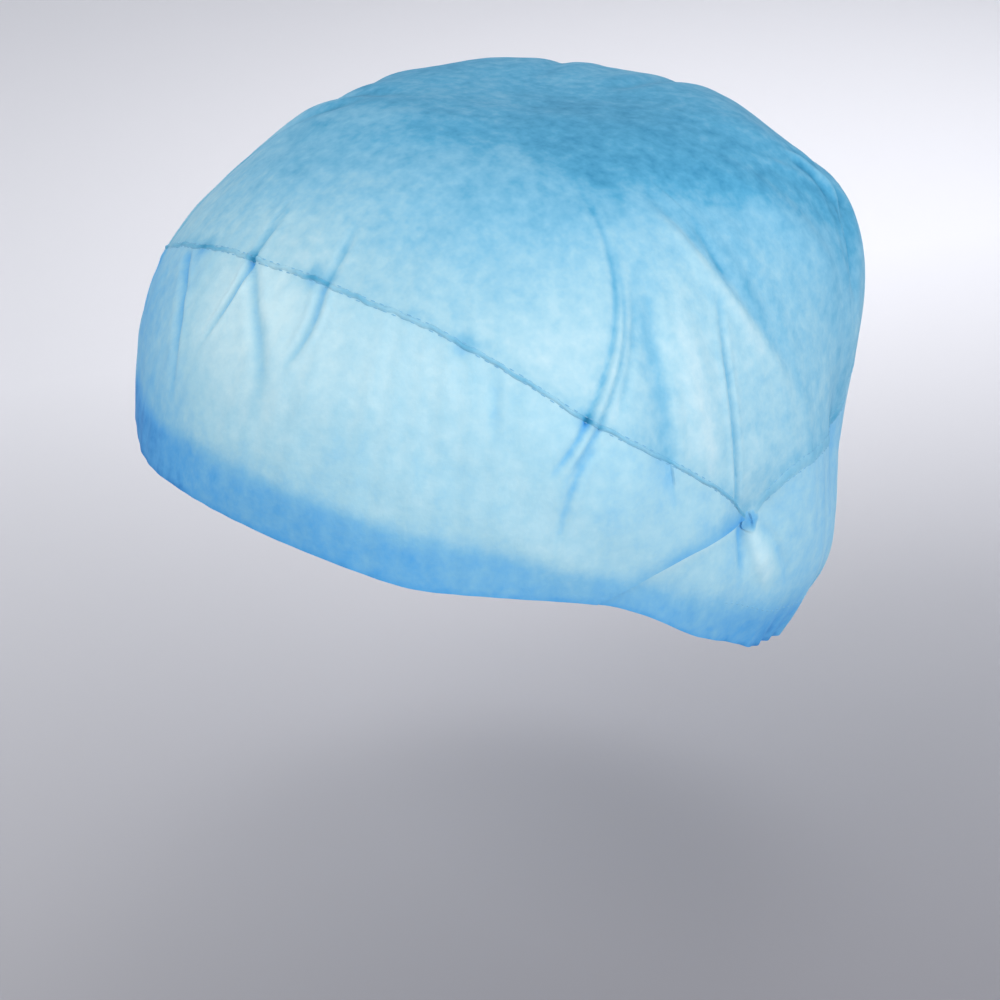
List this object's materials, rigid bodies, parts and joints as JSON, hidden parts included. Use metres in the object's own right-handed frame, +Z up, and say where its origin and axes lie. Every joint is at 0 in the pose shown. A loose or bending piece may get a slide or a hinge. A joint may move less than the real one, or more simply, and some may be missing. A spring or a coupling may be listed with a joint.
{
  "type": "surgical cap",
  "caption": "Soft non-woven surgical cap in its worn form: domed slack crown, hemmed brow band and elasticated back band, open below for a head.",
  "frame": {"origin": "middle of the head opening, at the level of the rim", "axes": "+Z up through the crown, -Y towards the brow, +X towards the wearer's left"},
  "size_m": [0.2031, 0.221, 0.1497],
  "materials": {
    "crown": "thin blue spunbond non-woven",
    "front_band": "thin blue spunbond non-woven, hem doubled",
    "back_band": "thin blue spunbond non-woven, gathered",
    "front_seam": "overlocked seam of the same cloth",
    "back_seam": "overlocked seam of the same cloth",
    "left_tack": "stitched pinch of the same cloth",
    "right_tack": "stitched pinch of the same cloth"
  },
  "bodies": {
    "root": {"crown": "crown", "front_band": "front_band", "back_band": "back_band", "front_seam": "front_seam", "back_seam": "back_seam", "left_tack": "left_tack", "right_tack": "right_tack"}
  },
  "joints": []
}
